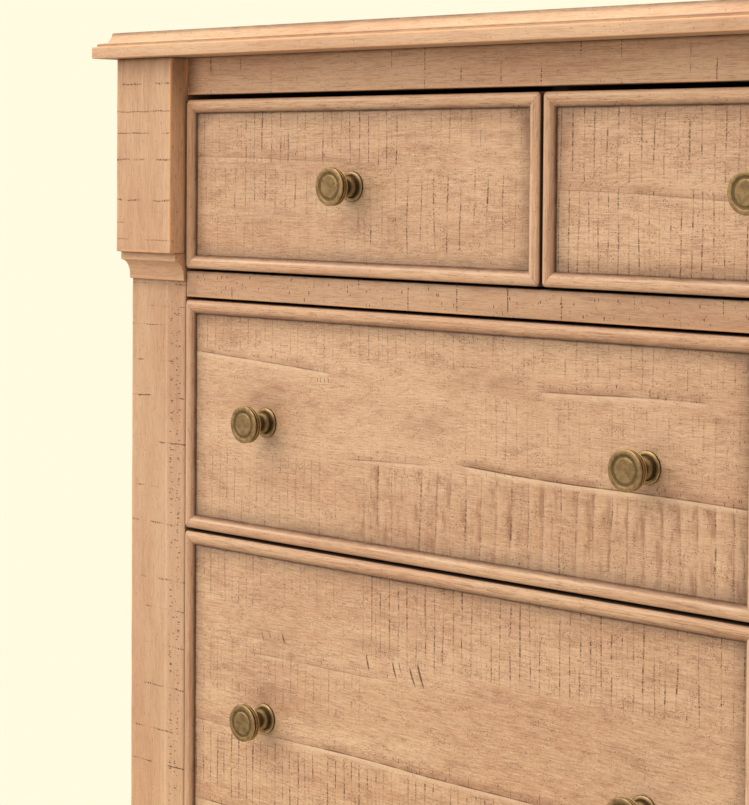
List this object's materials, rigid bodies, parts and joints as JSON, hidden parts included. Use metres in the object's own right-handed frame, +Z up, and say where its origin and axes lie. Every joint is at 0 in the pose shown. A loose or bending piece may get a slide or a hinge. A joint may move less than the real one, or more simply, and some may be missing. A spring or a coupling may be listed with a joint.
{
  "type": "dresser",
  "caption": "Wide rough-sawn dresser in a honey glaze: beaded inset drawers with aged brass knobs slide out between posts with stepped capitals under a moulded top.",
  "frame": {"origin": "on the floor, under the centre of the overall box", "axes": "+X to the right as the user faces the drawers, -Y out of the drawer fronts, +Z up"},
  "size_m": [1.624, 0.483, 0.9483],
  "materials": {
    "glazed_wood": "rough sawn, honey glaze, satin",
    "drawer_wood": "smooth, clear, satin",
    "case_board": "flat board, thin stain",
    "aged_brass": "antiqued, rubbed bright on the edges",
    "slide_steel": "zinc plated",
    "glide_plastic": "matt moulded"
  },
  "bodies": {
    "case": {"top": "glazed_wood", "front_post_left": "glazed_wood", "front_post_right": "glazed_wood", "back_post_left": "glazed_wood", "back_post_right": "glazed_wood", "capital_left": "glazed_wood", "capital_right": "glazed_wood", "plinth_left": "glazed_wood", "plinth_right": "glazed_wood", "side_panel_left": "glazed_wood", "side_panel_right": "glazed_wood", "side_rails_left": "glazed_wood", "side_rails_right": "glazed_wood", "frieze_rail": "glazed_wood", "mid_rail": "glazed_wood", "bottom_rail": "glazed_wood", "upper_partitions": "case_board", "lower_partition": "case_board", "dust_panel": "case_board", "bottom_board": "case_board", "back_panel": "case_board", "slide_channels": "slide_steel", "glides": "glide_plastic", "centre_leg": "drawer_wood", "glue_blocks": "drawer_wood"},
    "drawer_top_left": {"drawer_top_left_front": "glazed_wood", "drawer_top_left_beads": "glazed_wood", "drawer_top_left_box": "drawer_wood", "drawer_top_left_knobs": "aged_brass", "drawer_top_left_slides": "slide_steel"},
    "drawer_top_centre": {"drawer_top_centre_front": "glazed_wood", "drawer_top_centre_beads": "glazed_wood", "drawer_top_centre_box": "drawer_wood", "drawer_top_centre_knobs": "aged_brass", "drawer_top_centre_slides": "slide_steel"},
    "drawer_top_right": {"drawer_top_right_front": "glazed_wood", "drawer_top_right_beads": "glazed_wood", "drawer_top_right_box": "drawer_wood", "drawer_top_right_knobs": "aged_brass", "drawer_top_right_slides": "slide_steel"},
    "drawer_middle_left": {"drawer_middle_left_front": "glazed_wood", "drawer_middle_left_beads": "glazed_wood", "drawer_middle_left_box": "drawer_wood", "drawer_middle_left_knobs": "aged_brass", "drawer_middle_left_slides": "slide_steel"},
    "drawer_middle_right": {"drawer_middle_right_front": "glazed_wood", "drawer_middle_right_beads": "glazed_wood", "drawer_middle_right_box": "drawer_wood", "drawer_middle_right_knobs": "aged_brass", "drawer_middle_right_slides": "slide_steel"},
    "drawer_bottom_left": {"drawer_bottom_left_front": "glazed_wood", "drawer_bottom_left_beads": "glazed_wood", "drawer_bottom_left_box": "drawer_wood", "drawer_bottom_left_knobs": "aged_brass", "drawer_bottom_left_slides": "slide_steel"},
    "drawer_bottom_right": {"drawer_bottom_right_front": "glazed_wood", "drawer_bottom_right_beads": "glazed_wood", "drawer_bottom_right_box": "drawer_wood", "drawer_bottom_right_knobs": "aged_brass", "drawer_bottom_right_slides": "slide_steel"}
  },
  "joints": [
    {"name": "drawer_top_left_slide", "type": "slide", "parent": "case", "child": "drawer_top_left", "axis": [0, -1, 0], "range_m": [0, 0.3]},
    {"name": "drawer_top_centre_slide", "type": "slide", "parent": "case", "child": "drawer_top_centre", "axis": [0, -1, 0], "range_m": [0, 0.3]},
    {"name": "drawer_top_right_slide", "type": "slide", "parent": "case", "child": "drawer_top_right", "axis": [0, -1, 0], "range_m": [0, 0.3]},
    {"name": "drawer_middle_left_slide", "type": "slide", "parent": "case", "child": "drawer_middle_left", "axis": [0, -1, 0], "range_m": [0, 0.3]},
    {"name": "drawer_middle_right_slide", "type": "slide", "parent": "case", "child": "drawer_middle_right", "axis": [0, -1, 0], "range_m": [0, 0.3]},
    {"name": "drawer_bottom_left_slide", "type": "slide", "parent": "case", "child": "drawer_bottom_left", "axis": [0, -1, 0], "range_m": [0, 0.3]},
    {"name": "drawer_bottom_right_slide", "type": "slide", "parent": "case", "child": "drawer_bottom_right", "axis": [0, -1, 0], "range_m": [0, 0.3]}
  ]
}
